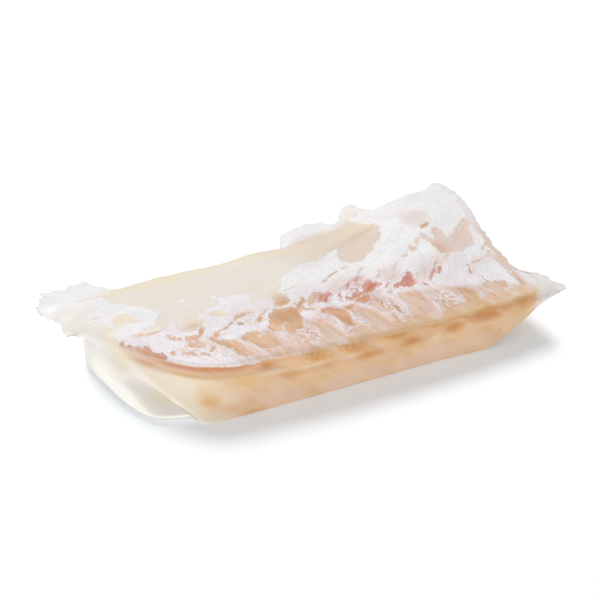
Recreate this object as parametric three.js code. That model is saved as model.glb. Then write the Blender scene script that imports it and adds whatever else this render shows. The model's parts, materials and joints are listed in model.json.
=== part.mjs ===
// Raw cod loin portion, skinned, lying with its skinned side up on the flat cut side.
// X runs along the fish from left to right, the thick back edge of the fillet is the front (-Y),
// and Z is up. Millimetres. The flesh is one closed solid: a domed top drawn as a grid of rows
// and columns, a wall that rolls over from the top, runs out into thin ragged flaps where the
// knife left them and goes down to the foot, and a flat underside.
import * as THREE from "three";

// Muscle flakes. Each flake is one segment of the fish, so every repeat follows this pitch.
// A rake is how far a seam between two flakes runs along X for each millimetre across.
const FLAKE_PITCH = 18;
const SEAM_DEPTH = 0.5;
const SEAM_HALF_WIDTH = 2.6;
const MIDLINE_Y = -25;
const TOP_SEAM_X = 2.4;
const FRONT_RAKE = 0.45;
const BACK_RAKE = 1.4;

// Outline of the top where it starts to roll over, seen from above, with its height above the table.
const TOP_EDGE = {
  front: [
    [-80.5, -17.5, 23.5], [-77, -24, 24], [-71, -32.5, 24.5], [-61, -42, 25], [-50, -46, 24.8],
    [-36, -47, 24.4], [-5, -48.6, 23.4], [30, -49.2, 21.6], [62, -48.2, 20.6], [84.2, -45.6, 20],
  ],
  right: [[84.2, -45.6, 20], [83.8, -30, 19], [84.2, -8, 18], [88.4, 13, 17], [92.4, 32, 16], [92, 46, 14.5]],
  back: [
    [-69, 28.5, 16.5], [-53, 30, 16.6], [-38, 29, 17], [-23, 27.5, 17.4], [-9, 29, 17.4], [4, 28.6, 17],
    [22, 31, 15.8], [37, 34, 15.4], [52, 39.6, 16], [64, 43.4, 16], [75, 46.6, 15.6], [92, 46, 14.5],
  ],
  left: [[-80.5, -17.5, 23.5], [-85.6, -7, 23], [-87.6, 2, 21], [-86.4, 13, 18.5], [-80, 23, 16.8], [-69, 28.5, 16.5]],
};
const CROWN_RISE = 3.2;
const CROWN_PLACE = 0.42;

// Outline of the lower edge of the walls. At the left end it is lifted a little off the table.
const FOOT_EDGE = {
  front: [[-67, -45.3, 3.2], [-62.7, -48.4], [-54, -49.8], [-41, -50.2], [0, -50.2], [36, -50], [60.6, -51]],
  right: [[60.6, -51], [66, -20], [74, 10], [82, 38]],
  back: [[-66, 23], [-30, 24], [10, 23], [45, 28], [82, 38]],
  left: [
    [-67, -45.3, 3.2], [-79.6, -40.2, 2.8], [-85.2, -30, 2.4], [-89.6, -9, 2.2], [-91.4, 3, 2.4], [-90.6, 8.6, 2],
    [-83, 17, 1], [-66, 23],
  ],
};
const FOOT_ROUND = 0.5;
const UNDERCUT = 1.4;

// Outlines of the thin flaps of flesh and membrane that the knife left beyond the top edge.
const FLAPS = [
  // Left tongue.
  {
    height: 15,
    outline: [
      [-84, -2], [-92.7, 6.6], [-97.7, 9], [-97.8, 19.3], [-101.3, 25.9], [-101.5, 32.7], [-95.5, 41.4],
      [-87.4, 40.5], [-82, 42.4], [-77, 42.2], [-75, 36.6], [-68.8, 33], [-66, 26],
    ],
  },
  // Back skirt.
  {
    height: 14,
    outline: [
      [5, 26], [6.5, 34], [10.5, 42.6], [16, 44.5], [21.7, 46.6], [31, 43.6], [33.5, 40.6], [38, 43],
      [42.3, 49.4], [48.3, 51.6], [50.6, 46], [53.5, 39],
    ],
  },
  // Back right corner.
  {
    height: 14,
    outline: [[69, 42], [73, 48], [80.4, 48.4], [84.5, 52.4], [90.3, 55], [96.3, 52.2], [97, 41], [95, 28]],
  },
  // Right tip.
  {
    height: 16,
    outline: [[83, -24], [86.5, -29], [91, -31.1], [95.5, -34], [96, -39.4], [99.4, -42.6], [96.4, -46.4], [80, -51]],
  },
];

// Edge of the top where there is no flap: a rounded roll from the top into the wall.
const ROLL_REACH = 3;
const ROLL_DROP = 3;
const ROLL_TO_WALL = 7;
const ROLL_STEPS = 4;
const FLAP_FROM = 3.5;
const FLAP_FULL = 8;
const FLAP_ROOT = 6;
const FLAP_EDGE = 0.9;
const LONGEST_FLAP = 26;

// Wall between the edge and the foot.
const WALL_STEPS = 5;
const WALL_BULGE = 0.9;

// Pads of fin muscle in a row along the front under the top edge, the ridge below them,
// and the groove that takes their place at the left.
const PAD_HEIGHT = 1.1;
const PAD_LEVEL = 0.84;
const PAD_SPREAD = 0.1;
const RIDGE_HEIGHT = 0.8;
const RIDGE_LEVEL = 0.68;
const RIDGE_SPREAD = 0.06;
const GROOVE_DEPTH = 1.2;
const GROOVE_END_X = -26;
const PAD_X = -3.6;
const FLANK_SEAM_DEPTH = 0.6;
const FLANK_SEAM_X = 0.4;
const FLANK_RAKE = 1.15;

// Shallow shave where the knife took the membrane off the back of the top.
const SHAVE_DEPTH = 0.8;
const SHAVE = { x: -14, y: 18, halfLength: 66, halfWidth: 23, turn: 0.1 };

// Columns and rows of the grid.
const COLUMNS = 68;
const ROWS = 30;

const clamp = THREE.MathUtils.clamp;
const lerp = THREE.MathUtils.lerp;
const smoothstep = THREE.MathUtils.smoothstep;
const bell = (distance, spread) => Math.exp(-((distance / spread) ** 2));

// A repeatable number from -1 to 1 for a cell of the noise.
function cellValue(ix, iy, seed) {
  const s = Math.sin(ix * 127.1 + iy * 311.7 + seed * 74.7) * 43758.5453;
  return 2 * (s - Math.floor(s)) - 1;
}

// Smooth noise from -1 to 1, with one swell for each unit cell.
function noise(x, y, seed) {
  const ix = Math.floor(x);
  const iy = Math.floor(y);
  const fx = smoothstep(x - ix, 0, 1);
  const fy = smoothstep(y - iy, 0, 1);
  const low = lerp(cellValue(ix, iy, seed), cellValue(ix + 1, iy, seed), fx);
  const high = lerp(cellValue(ix, iy + 1, seed), cellValue(ix + 1, iy + 1, seed), fx);
  return lerp(low, high, fy);
}

// The four sides of an outline as curves that share their corners.
function sidesOf(outline) {
  const side = (points) =>
    new THREE.CatmullRomCurve3(points.map(([x, y, z = 0]) => new THREE.Vector3(x, y, z)), false, "centripetal");
  return {
    front: side(outline.front),
    right: side(outline.right),
    back: side(outline.back),
    left: side(outline.left),
  };
}

// A point inside four sides: u runs from left to right and v from front to back.
function insideOf(sides, u, v) {
  const front = sides.front.getPointAt(u);
  const back = sides.back.getPointAt(u);
  const left = sides.left.getPointAt(v);
  const right = sides.right.getPointAt(v);
  const across = front.lerp(back, v);
  const along = left.lerp(right, u);
  const low = sides.front.getPoint(0).lerp(sides.front.getPoint(1), u);
  const high = sides.back.getPoint(0).lerp(sides.back.getPoint(1), u);
  return across.add(along).sub(low.lerp(high, v));
}

// 1 in the middle of each seam between two flakes and 0 away from it.
function seam(x) {
  const flakes = x / FLAKE_PITCH;
  return bell((flakes - Math.round(flakes)) * FLAKE_PITCH, SEAM_HALF_WIDTH);
}

// Seams on the top run out from the midline in chevrons that open to the right.
function topSeams(x, y) {
  const fromMidline = y - MIDLINE_Y;
  const rake = fromMidline > 0 ? fromMidline * BACK_RAKE : -fromMidline * FRONT_RAKE;
  const wander = 1.6 * noise(x / 21, y / 13, 3);
  return seam(x - TOP_SEAM_X - rake + wander);
}

// 1 inside the shaved area and 0 outside it, with a soft rim.
function shaved(x, y) {
  const dx = x - SHAVE.x;
  const dy = y - SHAVE.y - dx * SHAVE.turn;
  const wander = 0.12 * noise(x / 11, y / 8, 5);
  const out = Math.hypot(dx / SHAVE.halfLength, dy / SHAVE.halfWidth) + wander;
  return 1 - smoothstep(out, 0.86, 1);
}

// What the dome and its relief add to the height of the top at a place of the grid.
function topRelief(u, v, x, y) {
  const hump = v < CROWN_PLACE ? v / CROWN_PLACE : (1 - v) / (1 - CROWN_PLACE);
  const ends = smoothstep(u, 0, 0.12) * (1 - smoothstep(u, 0.86, 1));
  const crown = CROWN_RISE * Math.sin((Math.PI / 2) * hump) * ends;
  const inside = smoothstep(Math.min(v, 1 - v), 0, 0.12) * ends;
  const bare = shaved(x, y);
  const swell = 0.5 * noise(x / 14, y / 10, 1) + 0.2 * noise(x / 5, y / 4, 2);
  const seams = SEAM_DEPTH * topSeams(x, y) * (1 - 0.8 * bare);
  return crown + inside * (swell - seams - SHAVE_DEPTH * bare);
}

// How far a flap runs out from a point in a direction, or 0 where it doesn't reach there.
function reachOf(flap, point, direction) {
  let reach = 0;
  for (let k = 0; k + 1 < flap.outline.length; k += 1) {
    const [ax, ay] = flap.outline[k];
    const [bx, by] = flap.outline[k + 1];
    const turn = direction.x * (by - ay) - direction.y * (bx - ax);
    const distance = ((ax - point.x) * (by - ay) - (ay - point.y) * (bx - ax)) / turn;
    const share = ((ax - point.x) * direction.y - (ay - point.y) * direction.x) / turn;
    if (share >= 0 && share <= 1 && distance < LONGEST_FLAP) reach = Math.max(reach, distance);
  }
  return reach;
}

// The edge at a place of the outline: its reach beyond the top, its drop and how far it is a flap.
function edgeAt(point, outward) {
  const edge = { reach: ROLL_REACH, drop: ROLL_DROP, flap: 0 };
  for (const flap of FLAPS) {
    const reach = reachOf(flap, point, outward);
    if (reach > edge.reach) {
      edge.reach = reach;
      edge.flap = smoothstep(reach, FLAP_FROM, FLAP_FULL);
      edge.drop = lerp(ROLL_DROP, Math.max(point.z - flap.height, 1), edge.flap);
    }
  }
  return edge;
}

// Relief of the flank at the front: pads or groove, the ridge under them and the slanting seams.
function flankRelief(x, z, level, frontShare) {
  const pad = Math.cos((Math.PI * (x - PAD_X)) / FLAKE_PITCH) ** 2;
  const underEdge = bell(level - PAD_LEVEL, PAD_SPREAD);
  const grooved = 1 - smoothstep(x, GROOVE_END_X - 8, GROOVE_END_X + 8);
  const pads = underEdge * lerp(PAD_HEIGHT * pad, -GROOVE_DEPTH, grooved);
  const ridge = RIDGE_HEIGHT * bell(level - RIDGE_LEVEL - 0.04 * pad, RIDGE_SPREAD);
  const below = smoothstep(RIDGE_LEVEL - level, 0, 0.15);
  const seams = FLANK_SEAM_DEPTH * seam(x + FLANK_RAKE * z - FLANK_SEAM_X) * below;
  return frontShare * (pads + ridge - seams);
}

// The wall below one place of the edge, as a column of points from the roll down to the table.
function wallColumn(shoulder, outward, foot, frontShare) {
  const edge = edgeAt(shoulder, outward);
  const out = (distance, drop) => shoulder.clone().addScaledVector(outward, distance).setZ(shoulder.z - drop);
  const column = [];
  for (let step = 1; step <= ROLL_STEPS; step += 1) {
    const share = step / ROLL_STEPS;
    const angle = (share * Math.PI) / 2;
    const distance = edge.reach * lerp(Math.sin(angle), share, edge.flap);
    const drop = edge.drop * lerp(1 - Math.cos(angle), share ** 1.3, edge.flap);
    column.push(out(distance, drop));
  }
  const rootDrop = lerp(ROLL_TO_WALL, FLAP_ROOT, edge.flap);
  const underEdge = edge.drop + lerp(1.5, FLAP_EDGE, edge.flap);
  column.push(out(edge.reach - 0.1, underEdge));
  column.push(out(lerp(edge.reach, ROLL_REACH, 0.5), lerp(underEdge, rootDrop, 0.5)));
  const root = out(ROLL_REACH, rootDrop);
  for (let step = 0; step <= WALL_STEPS; step += 1) {
    const share = step / WALL_STEPS;
    const point = root.clone().lerp(foot, share);
    point.addScaledVector(outward, WALL_BULGE * Math.sin(Math.PI * share));
    column.push(point);
  }
  const last = column.length - 1;
  column.forEach((point, index) => {
    const level = point.z / shoulder.z;
    const uneven = 0.3 * noise(point.x / 6 + point.y / 9, point.z / 5, 4);
    if (index < last) point.addScaledVector(outward, flankRelief(point.x, point.z, level, frontShare) + uneven);
  });
  const contact = foot.clone().addScaledVector(outward, -FOOT_ROUND - UNDERCUT * foot.z);
  column[last].z = Math.max(foot.z, FOOT_ROUND);
  column.push(contact.setZ(0));
  return column;
}

// Places of the grid round its edge, in order: front, right, back and left.
function edgePlaces() {
  const places = [];
  for (let i = 0; i < COLUMNS; i += 1) places.push([i, 0]);
  for (let j = 0; j < ROWS; j += 1) places.push([COLUMNS, j]);
  for (let i = COLUMNS; i > 0; i -= 1) places.push([i, ROWS]);
  for (let j = ROWS; j > 0; j -= 1) places.push([0, j]);
  return places;
}

function loinGeometry() {
  const topSides = sidesOf(TOP_EDGE);
  const footSides = sidesOf(FOOT_EDGE);
  const positions = [];
  const faces = [];
  const addPoint = (point) => positions.push(point.x, point.y, point.z) / 3 - 1;
  const addQuad = (a, b, c, d) => faces.push(a, b, c, a, c, d);

  // The top.
  const top = [];
  for (let i = 0; i <= COLUMNS; i += 1) {
    top.push([]);
    for (let j = 0; j <= ROWS; j += 1) {
      const [u, v] = [i / COLUMNS, j / ROWS];
      const point = insideOf(topSides, u, v);
      point.z += topRelief(u, v, point.x, point.y);
      top[i].push({ point, id: addPoint(point) });
    }
  }
  for (let i = 0; i < COLUMNS; i += 1) {
    for (let j = 0; j < ROWS; j += 1) {
      addQuad(top[i][j].id, top[i + 1][j].id, top[i + 1][j + 1].id, top[i][j + 1].id);
    }
  }

  // The wall, one column of points for each place round the edge.
  const places = edgePlaces();
  const count = places.length;
  const edgePoints = places.map(([i, j]) => top[i][j].point);
  const columns = places.map(([i, j], k) => {
    const before = edgePoints[(k + count - 3) % count];
    const after = edgePoints[(k + 3) % count];
    const outward = new THREE.Vector3(after.y - before.y, before.x - after.x, 0).normalize();
    const foot = insideOf(footSides, i / COLUMNS, j / ROWS);
    const frontShare = clamp(-outward.y * 1.6 - 0.4, 0, 1);
    return [top[i][j].id, ...wallColumn(top[i][j].point, outward, foot, frontShare).map(addPoint)];
  });
  columns.forEach((column, k) => {
    const next = columns[(k + 1) % count];
    for (let r = 0; r + 1 < column.length; r += 1) addQuad(column[r], column[r + 1], next[r + 1], next[r]);
  });

  // The flat underside.
  const rim = columns.map((column) => column[column.length - 1]);
  const flat = rim.map((id) => new THREE.Vector2(positions[3 * id], positions[3 * id + 1]));
  for (const [a, b, c] of THREE.ShapeUtils.triangulateShape(flat, [])) faces.push(rim[a], rim[c], rim[b]);

  const geometry = new THREE.BufferGeometry();
  geometry.setAttribute("position", new THREE.Float32BufferAttribute(positions, 3));
  geometry.setIndex(faces);
  // The frame's origin is under the middle of the box round the piece.
  geometry.computeBoundingBox();
  const middle = geometry.boundingBox.getCenter(new THREE.Vector3());
  geometry.translate(-middle.x, -middle.y, -geometry.boundingBox.min.z);
  geometry.computeVertexNormals();
  return geometry;
}

const flesh = new THREE.MeshStandardMaterial({ color: 0xe6d3c1, roughness: 0.45, metalness: 0 });

const loin = new THREE.Mesh(loinGeometry(), flesh);
loin.name = "cod_loin";

const part = new THREE.Group();
part.add(loin);

export default part;
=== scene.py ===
"""Raw cod loin portion, skinned, with torn white membrane over its flesh.

The file is laid out as a Blender add-on and is run as a script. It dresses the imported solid: the loin is
carved from a copy of the solid, and the thin films at its cut ends are sheets laid over it. Sizes in the
lists below are millimetres in the part's own frame: X along the fish, -Y towards the thick front edge, and
Z up from the table.
"""

import json
import math

import bpy
import numpy as np
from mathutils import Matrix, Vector
from mathutils.bvhtree import BVHTree

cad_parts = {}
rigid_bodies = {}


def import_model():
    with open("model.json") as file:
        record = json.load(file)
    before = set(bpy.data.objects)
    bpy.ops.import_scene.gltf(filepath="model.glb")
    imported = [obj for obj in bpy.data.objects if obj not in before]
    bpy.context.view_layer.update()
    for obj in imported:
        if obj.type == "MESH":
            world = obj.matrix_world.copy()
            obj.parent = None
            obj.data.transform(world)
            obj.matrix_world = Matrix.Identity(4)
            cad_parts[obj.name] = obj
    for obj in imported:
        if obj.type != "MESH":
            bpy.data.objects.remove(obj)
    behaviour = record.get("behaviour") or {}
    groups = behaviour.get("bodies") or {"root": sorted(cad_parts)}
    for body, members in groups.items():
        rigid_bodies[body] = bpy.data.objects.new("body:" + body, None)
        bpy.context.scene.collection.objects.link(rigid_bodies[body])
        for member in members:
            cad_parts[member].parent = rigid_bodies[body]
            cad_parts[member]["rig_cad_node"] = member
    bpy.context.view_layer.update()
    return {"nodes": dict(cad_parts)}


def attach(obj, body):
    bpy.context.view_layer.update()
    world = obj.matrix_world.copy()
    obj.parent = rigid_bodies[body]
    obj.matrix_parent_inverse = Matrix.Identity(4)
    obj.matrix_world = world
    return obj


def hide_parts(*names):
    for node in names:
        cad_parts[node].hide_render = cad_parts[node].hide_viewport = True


bl_info = {
    "name": "Cod loin portion",
    "version": (1, 0, 0),
    "blender": (4, 5, 0),
    "location": "3D View > Sidebar > Cod loin",
    "description": "Dresses a packed cod loin with flesh, torn membrane and thin films",
    "category": "Add Mesh",
}

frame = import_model()
LOIN_NODE = "cod_loin"
MM = 0.001

# The rim, where the top starts to roll over into the walls: x, y and height, all the way round.
RIM = [
    (-79, -18.3, 23.5), (-75.4, -24.8, 24), (-69.4, -33.3, 24.5), (-59.4, -42.8, 25), (-48.4, -46.8, 24.8),
    (-34.4, -47.8, 24.4), (-3.4, -49.4, 23.4), (31.6, -50, 21.6), (63.6, -49, 20.6), (85.8, -46.4, 20),
    (85.4, -30.8, 19), (85.8, -8.8, 18), (90, 12.2, 17), (94, 31.2, 16), (93.6, 45.2, 14.5),
    (76.6, 45.8, 15.6), (65.6, 42.6, 16), (53.6, 38.8, 16), (38.6, 33.2, 15.4), (23.6, 30.2, 15.8),
    (5.6, 27.8, 17), (-7.4, 28.2, 17.4), (-21.4, 26.7, 17.4), (-36.4, 28.2, 17), (-51.4, 29.2, 16.6),
    (-67.4, 27.7, 16.5), (-78.4, 22.2, 16.8), (-84.8, 12.2, 18.5), (-86, 1.2, 21), (-84, -7.8, 23),
]

# Muscle flakes. The seams between them leave the midline in chevrons on the top, with one slope behind it
# and one in front and a soft bend between, and slant down the front flank. Their places along X there are
# those at the height FLANK_SEAM_Z.
MIDLINE_Y = -25.8
MIDLINE_BEND = 4
MIDLINE_TO_FRONT = 24
GRAIN_BACK = 1.2
GRAIN_FRONT = -0.45
FLANK_SEAMS = [-53, -37, -20, -6, 9.5, 29, 48, 65]
FLANK_SEAM_Z = 19
FLANK_RAKE = 1.06

# The fold where the cut left end meets the flank: it falls from the left corner to the foot.
FOLD_X = -59
FOLD_RAKE = 1.19

# How far the membrane hangs over the front rim, at places along X.
HEM_X = [-84, -74, -67, -60, -52, -47, -41, -30, 0, 30, 60, 80]
HEM_DROP = [0.5, 0.3, 0.8, 1.2, 1.2, 1.7, 2.0, 1.5, 0.9, 0.3, -0.3, -0.5]

# How much of the top is bare along the right rim, at places along Y.
BARE_Y = [-46, -42, -30, -20, -8, 0, 10, 32]
BARE_RIM = [3.6, 3.2, 1.4, 0.5, 0.4, 0.7, 1.2, 1.3]

# Where the whole membrane ends and the translucent front band starts: x, and y there.
BAND_X = [-70, -47, -44, -27, -12, 0, 30, 45, 62, 75, 85]
BAND_Y = [-60, -56, -35, -34, -33, -30, -29.5, -31, -35, -39, -42]

# Outline of the bare flesh at the back, where the knife took the membrane off.
SHAVED = [
    (-75, 42), (-73.8, 26), (-73, 20), (-70, 14), (-68, 9), (-64.5, 5), (-62.3, 1), (-61.2, -5),
    (-63.5, -8), (-66, -13), (-70.5, -13.5), (-72, -15.5), (-76.8, -15.5), (-77, -17.8), (-73.5, -19),
    (-70, -20.2), (-66, -19.5), (-63, -16.8), (-60.5, -14.5), (-59.3, -15.5), (-59.3, -21.5), (-58, -24.3),
    (-55, -24.8), (-51.5, -22.8), (-49, -20), (-46.5, -17.8), (-48.8, -15), (-48, -12.8), (-45, -12),
    (-43, -10), (-38, -9.2), (-36.6, -5), (-37.3, 1), (-36.9, 4), (-36, 2), (-35, -3), (-33, -4.6),
    (-29, -3.3), (-25.5, -3.8), (-23.2, -6.3), (-24, -10), (-25.5, -12), (-24.8, -14.5), (-21, -13.2),
    (-16.5, -12), (-16, -15), (-18.5, -20), (-17.5, -22.6), (-13.5, -21.8), (-10.5, -19), (-10.4, -13),
    (-11, -8), (-8.5, -5), (-7, 0), (-4.5, 3.5), (0, 6), (4, 9), (10, 10.6), (15, 10), (20, 14), (23.5, 16),
    (27.3, 17), (25, 13), (23.8, 9), (23.5, 5), (25, 3.3), (27, 0.5), (29.5, -0.4), (31.5, 0.6),
    (33.5, 3.5), (36, 4.8), (38.5, 6), (40, 9), (42.5, 12), (46, 14.5), (47.5, 17.5), (49, 21.5),
    (50.2, 23.4), (52, 25.6), (50.3, 27.3), (49.3, 29.5), (47, 30.5), (46.2, 33), (40, 43),
]

# The larger windows torn in the membrane, by the colour of the flesh in them, as outlines.
LARGE_WINDOWS = {
    "straw": [
        [
            (-78.5, 3.5), (-74.5, 4.4), (-72.5, 1.5), (-71, -3), (-70.8, -9), (-73, -8.5), (-75, -6),
            (-77.5, -5.5), (-80, -6.5), (-79.5, -2),
        ],
    ],
    "tan": [
        [
            (-40, -36), (-38.5, -34), (-36, -33.3), (-33, -33.8), (-31, -36), (-33.5, -37), (-31.5, -38.2),
            (-29.5, -38.5), (-27.5, -41), (-26.8, -44.5), (-28, -46), (-31, -46), (-35, -44.5),
            (-35.7, -40), (-38.5, -38.5),
        ],
        [
            (-27.3, -34), (-26.5, -31.5), (-25, -30), (-24, -27), (-22.5, -25), (-20, -22.5), (-18, -23),
            (-15, -24.3), (-12, -24), (-9.5, -21.5), (-8, -23), (-9.5, -25), (-10.5, -28), (-11.5, -30),
            (-12.5, -33), (-13, -36), (-13.5, -38.5), (-17, -39), (-19, -41), (-21, -40.5), (-22.5, -38.5),
            (-24.5, -37.5), (-26.5, -36),
        ],
        [
            (-51.5, -30.5), (-49.5, -30.3), (-48.5, -33), (-46, -34.5), (-42.5, -36), (-41, -38),
            (-40.5, -42), (-38.5, -46), (-42, -47), (-44.5, -45), (-45.5, -41), (-47.5, -37.5),
            (-50, -33.5),
        ],
        [(54.4, -35.5), (57, -36), (61, -38), (62, -42), (62, -50), (54.5, -50), (54.8, -42)],
    ],
    "rose": [
        [
            (30.5, -30.5), (33, -29.8), (35, -31.5), (37.5, -34.5), (39.5, -38.5), (41.3, -42), (41, -49.5),
            (31, -49.5), (30.2, -45), (30.8, -40), (30.6, -36),
        ],
        [
            (11, -34.5), (14, -34.5), (16.5, -36.5), (18.8, -40.5), (19.6, -45), (19.5, -49.5),
            (13.2, -49.5), (12.4, -44), (11.5, -39),
        ],
        [
            (-8.8, -36), (-6, -35.3), (-3.8, -37.5), (-1.8, -41), (-0.6, -45), (-1, -49), (-8, -49.5),
            (-9.5, -44),
        ],
        [
            (-6.4, -26), (-5.4, -22.5), (-3.2, -19), (-0.5, -16), (2, -14.8), (1.2, -17.5), (-0.5, -21),
            (-3.4, -25),
        ],
        [(64.5, -42.5), (69, -42.5), (76, -43.5), (84, -42.5), (84, -52), (64.5, -52)],
        [(66, -37), (72, -35.8), (76.5, -36.5), (77, -41), (74, -43), (68, -42)],
    ],
    "amber": [
        [
            (-3.8, -32), (-2.5, -30.2), (0, -29.3), (2.5, -30.3), (4.5, -32), (6.8, -33.5), (6.3, -37),
            (6, -40), (4.8, -43.5), (3, -44), (1.4, -41), (0.8, -37), (0.3, -34.5), (-1.8, -32.6),
        ],
    ],
    "blood": [
        [
            (10.2, -27.5), (11, -24.8), (13, -25.2), (15, -24), (18.3, -23.8), (19.5, -21.5), (20.5, -19),
            (23, -17.8), (25, -17.3), (26, -19.7), (28.4, -19.6), (28, -22), (26.5, -23.2), (24, -24.6),
            (20.3, -25.6), (19.6, -28.5), (19.3, -31), (15, -31.3), (12, -30),
        ],
        [
            (31.5, -25.5), (34.5, -24.4), (36, -23.4), (38, -21.2), (40.3, -19.6), (41, -17.8),
            (43.6, -18.3), (42.6, -21.5), (41.5, -24), (41.7, -26), (40, -27.6), (37.5, -28.5), (35, -27.5),
            (32, -26.6),
        ],
        [
            (-0.5, -24.6), (0.4, -21.5), (1.8, -18.3), (5, -19), (6.6, -18), (6.4, -20.5), (4.5, -22.5),
            (3.5, -24.8), (1, -25.2),
        ],
    ],
    "blush": [
        [
            (61.5, -7), (61, -3), (61.5, 0), (61, 3), (61, 7), (62.5, 9), (63.5, 7.5), (64, 4.5), (64.8, 2),
            (65.5, 3), (67, 8), (69.5, 11.5), (72, 11.5), (71.5, 7), (71, 3), (71.5, 0.5), (73, 3.5),
            (75, 4), (76, 5), (78, 8.5), (81, 10.5), (83.5, 13.5), (86, 15.8), (88.5, 17), (88, 13),
            (86, 9), (84, 4.5), (82, 0), (80.5, -4.5), (77.5, -6.5), (74.5, -8), (71.5, -10.5), (67, -11),
            (64, -11), (61.5, -9.5), (62.5, -8),
        ],
    ],
}

# Smaller windows: middle x and y, half length, half width and the turn of the length from +X in degrees.
SMALL_WINDOWS = {
    "straw": [
        (-40.5, -15.3, 3.6, 2.3, -15), (-83.5, -12, 2.4, 1, -70), (-84, -4.5, 3, 1.3, -80),
        (-83.2, 2, 1.2, 0.8, 0),
    ],
    "tan": [
        (-36, -27, 1.8, 0.8, 0), (-7.7, -28, 2, 0.9, -20), (-71.3, -31.8, 2, 0.6, -50),
        (67.2, 14.8, 2.7, 1.5, 35), (-52.5, -38, 1.6, 0.8, 40), (-57.5, -33.5, 3, 1.4, -20),
        (-62, -37, 2.4, 0.8, -40), (-56, -40, 2, 0.7, -20),
    ],
    "amber": [
        (9.3, -32, 1.8, 1.2, 20), (-59, -31.7, 1.6, 0.7, 0), (-66.8, -33.8, 1, 1, 0),
        (66.6, -44.5, 2.6, 1.5, 80), (70.8, -46.5, 2.4, 0.5, 85),
    ],
    "blush": [
        (53.2, -1.5, 2.6, 1.3, 50), (22, -1, 1.8, 1.1, 20), (57.5, 3, 2.2, 0.8, 50),
        (29, -27.6, 1.5, 0.9, 20),
    ],
    "blood": [(45, -28.8, 0.9, 0.5, 0), (8.3, -24.6, 2.2, 0.7, 60)],
}

# Narrow tears, by colour: start x and y, end x and y, and half width.
SLITS = {
    "straw": [(-9.5, -10, -1, -7, 0.4)],
    "tan": [
        (-48, -30.3, -44, -28, 0.9), (-44, -28, -38, -24, 1), (-38, -24, -34, -19.8, 0.8),
        (-34, -21.3, -29, -20.5, 0.6), (-28.8, -29, -26.8, -25, 1), (-26.8, -25.2, -23, -22, 0.5),
        (6.5, -10, 11.5, -6, 0.3), (11, -6.5, 17, -3, 0.6), (46, -6, 52, -2, 0.3),
        (-48.5, -30.7, -44, -31.5, 0.6), (22.8, -30.5, 21.5, -38, 0.7), (26, -33, 27, -42, 0.7),
        (24, -39, 23, -46, 0.4), (55, -17, 58, -14, 0.5), (47.5, -37, 48.5, -45, 0.5),
        (69, -32, 69.5, -37, 0.4),
    ],
    "groove": [(-77, -23, -74, -28.5, 1.3), (-74, -28.5, -69.5, -34.5, 0.7), (-82, -16.5, -78, -22.5, 0.5)],
    "amber": [
        (-64.6, -23, -63.4, -26.2, 0.9), (-63.4, -26.2, -61, -27.2, 0.8), (-60, -29.5, -54, -28, 1.5),
        (-54, -28, -50.4, -24, 1), (-9.4, -24.5, -5.5, -19, 1), (65.3, -28, 66.7, -24, 0.5),
        (66.7, -24, 69, -20.8, 0.5), (69, -20.8, 75, -18, 0.4), (35, -31.5, 38.2, -35, 0.6),
        (38.2, -35, 39.8, -40, 0.5), (84.6, -27, 83.2, -38, 0.3), (83.2, -38, 81.3, -44, 0.3),
    ],
    "blush": [
        (60, -15.5, 66, -10.8, 1), (73.5, -19.3, 79, -17, 0.7), (79, -17, 84, -14.8, 1),
        (80.5, -12, 83.5, -7.5, 0.7), (83.5, -7.5, 88, -4.5, 0.7), (29, -17, 33, -11, 0.5),
        (33, -19, 40, -11, 0.3), (37, -13, 41, -9, 0.3), (23, -9.5, 28, -5, 0.5),
    ],
    "blood": [
        (47, -27.6, 50, -23.4, 0.6), (50, -23.4, 55.5, -17, 0.5), (52.8, -23.3, 56, -20, 0.9),
        (28, -25, 35, -19.5, 0.35), (13, -20, 17, -15, 0.5), (19, -16, 24, -11.5, 0.5),
        (16, -22, 20, -18, 0.5),
    ],
}

# For each colour of window: how much of a thin layer stays over the flesh in it, and how far past its edge
# its colour goes on.
WINDOW_LAYER = {
    "straw": 0.3, "tan": 0.08, "blush": 0.25, "rose": 0.35, "groove": 0.1, "amber": 0.08, "blood": 0.3,
}
WINDOW_REACH = {
    "straw": 2.4, "tan": 2.4, "blush": 2, "rose": 2.4, "groove": 1.6, "amber": 1.6, "blood": 3,
}

# Scraps of membrane left on the bare flesh: middle x and y, half length, half width and turn.
SCRAPS = [
    (-48.7, 3.7, 1.7, 1.3, 60), (-49.7, 1, 1.6, 0.4, 75), (-22, -36.2, 2.9, 0.8, 52),
    (16, -26.8, 2.6, 0.4, 30), (57.5, -40, 3, 0.4, -80), (36, -43, 3.5, 0.3, -75),
]

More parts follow.
